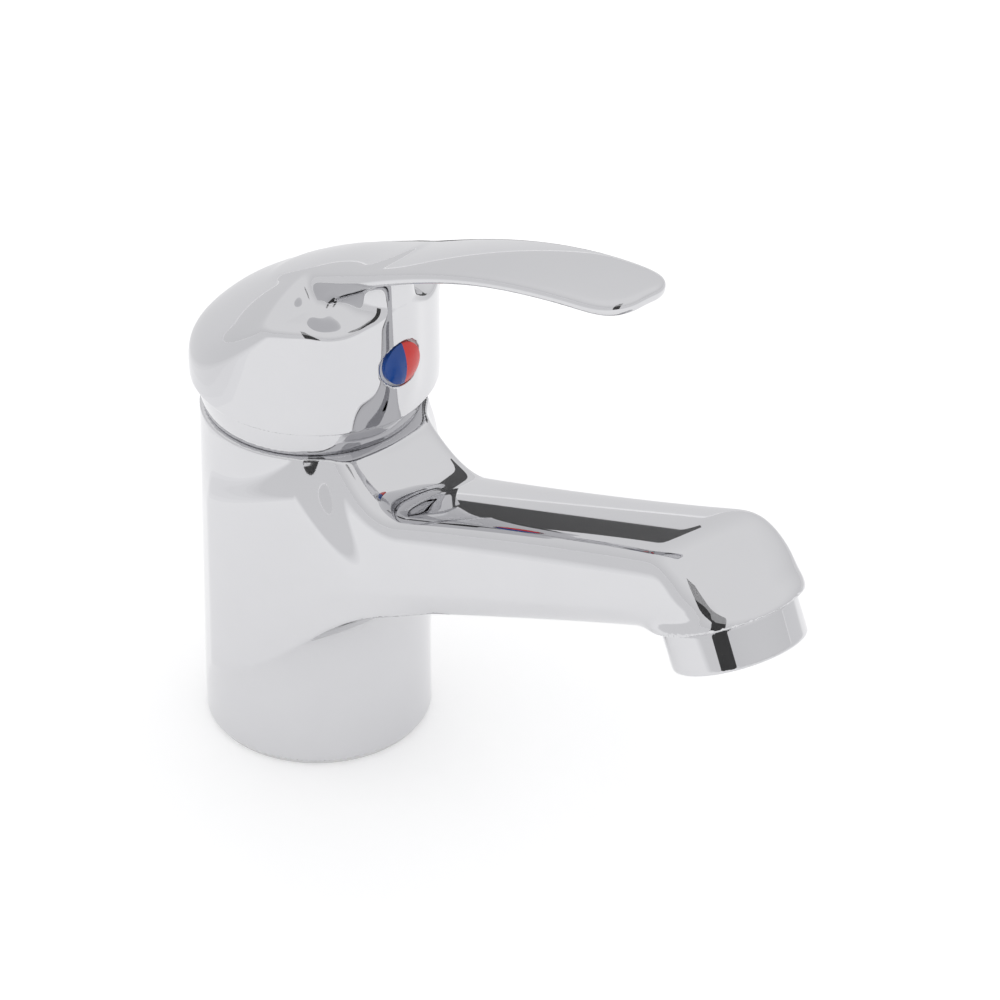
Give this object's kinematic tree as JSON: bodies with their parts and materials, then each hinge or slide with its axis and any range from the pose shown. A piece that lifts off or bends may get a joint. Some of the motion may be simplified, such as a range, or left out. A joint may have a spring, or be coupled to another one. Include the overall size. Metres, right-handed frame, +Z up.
{
  "type": "basin mixer tap",
  "caption": "Single-lever basin mixer with a fixed sloping spout, a tilting and swinging lever handle, a ceramic disc cartridge inside and an aerator at the outlet.",
  "frame": {"origin": "on the body's axis at the top of the basin, where the base seal rests", "axes": "+Z up along the body's axis, +X forward along the spout, +Y to the side of the red half of the indicator"},
  "size_m": [0.1598, 0.0508, 0.145],
  "materials": {
    "chrome_body": "polished chrome plate",
    "chrome_handle": "polished chrome plate",
    "chrome_ring": "polished chrome plate",
    "chrome_collar": "polished chrome plate",
    "brass": "machined brass",
    "steel": "turned stainless steel",
    "steel_mesh": "perforated stainless steel",
    "ceramic": "lapped alumina ceramic",
    "grey_plastic": "moulded glass-filled plastic",
    "ivory_plastic": "moulded acetal",
    "white_plastic": "moulded plastic",
    "blue_plastic": "glossy domed plastic",
    "red_plastic": "glossy domed plastic",
    "white_rubber": "soft white rubber",
    "black_rubber": "nitrile rubber"
  },
  "bodies": {
    "root": {"body_casting": "chrome_body", "cover_ring": "chrome_ring", "aerator_collar": "chrome_collar", "base_seal": "white_rubber", "clamp_nut": "brass", "cartridge_base": "grey_plastic", "cartridge_housing": "grey_plastic", "port_seals": "black_rubber", "disc_seals": "black_rubber", "aerator_washer": "black_rubber", "lower_ceramic_disc": "ceramic", "aerator_insert": "white_plastic", "aerator_screen": "steel_mesh"},
    "cartridge_turret": {"turret": "ivory_plastic", "turret_o_ring": "black_rubber"},
    "shutter": {"upper_ceramic_disc": "ceramic", "disc_carrier": "ivory_plastic"},
    "lever": {"handle": "chrome_handle", "lever_stem": "brass", "stem_pin": "steel", "stem_adapter": "white_plastic", "grub_screw": "steel", "indicator_cup": "white_plastic", "cold_half": "blue_plastic", "hot_half": "red_plastic"}
  },
  "joints": [
    {"name": "handle_swing", "type": "hinge", "parent": "root", "child": "cartridge_turret", "pos_m": [0, 0, 0.0837], "axis": [0, 0, 1], "range_deg": [-45, 45]},
    {"name": "handle_lift", "type": "hinge", "parent": "cartridge_turret", "child": "lever", "pos_m": [0, 0, 0.0837], "axis": [0, -1, 0], "range_deg": [0, 13]},
    {"name": "disc_slide", "type": "slide", "parent": "cartridge_turret", "child": "shutter", "axis": [1, 0, 0], "range_m": [0, 0.0034]}
  ],
  "couplings": [
    {"joint": "disc_slide", "follows": "handle_lift", "m_per_rad": 0.01417}
  ]
}
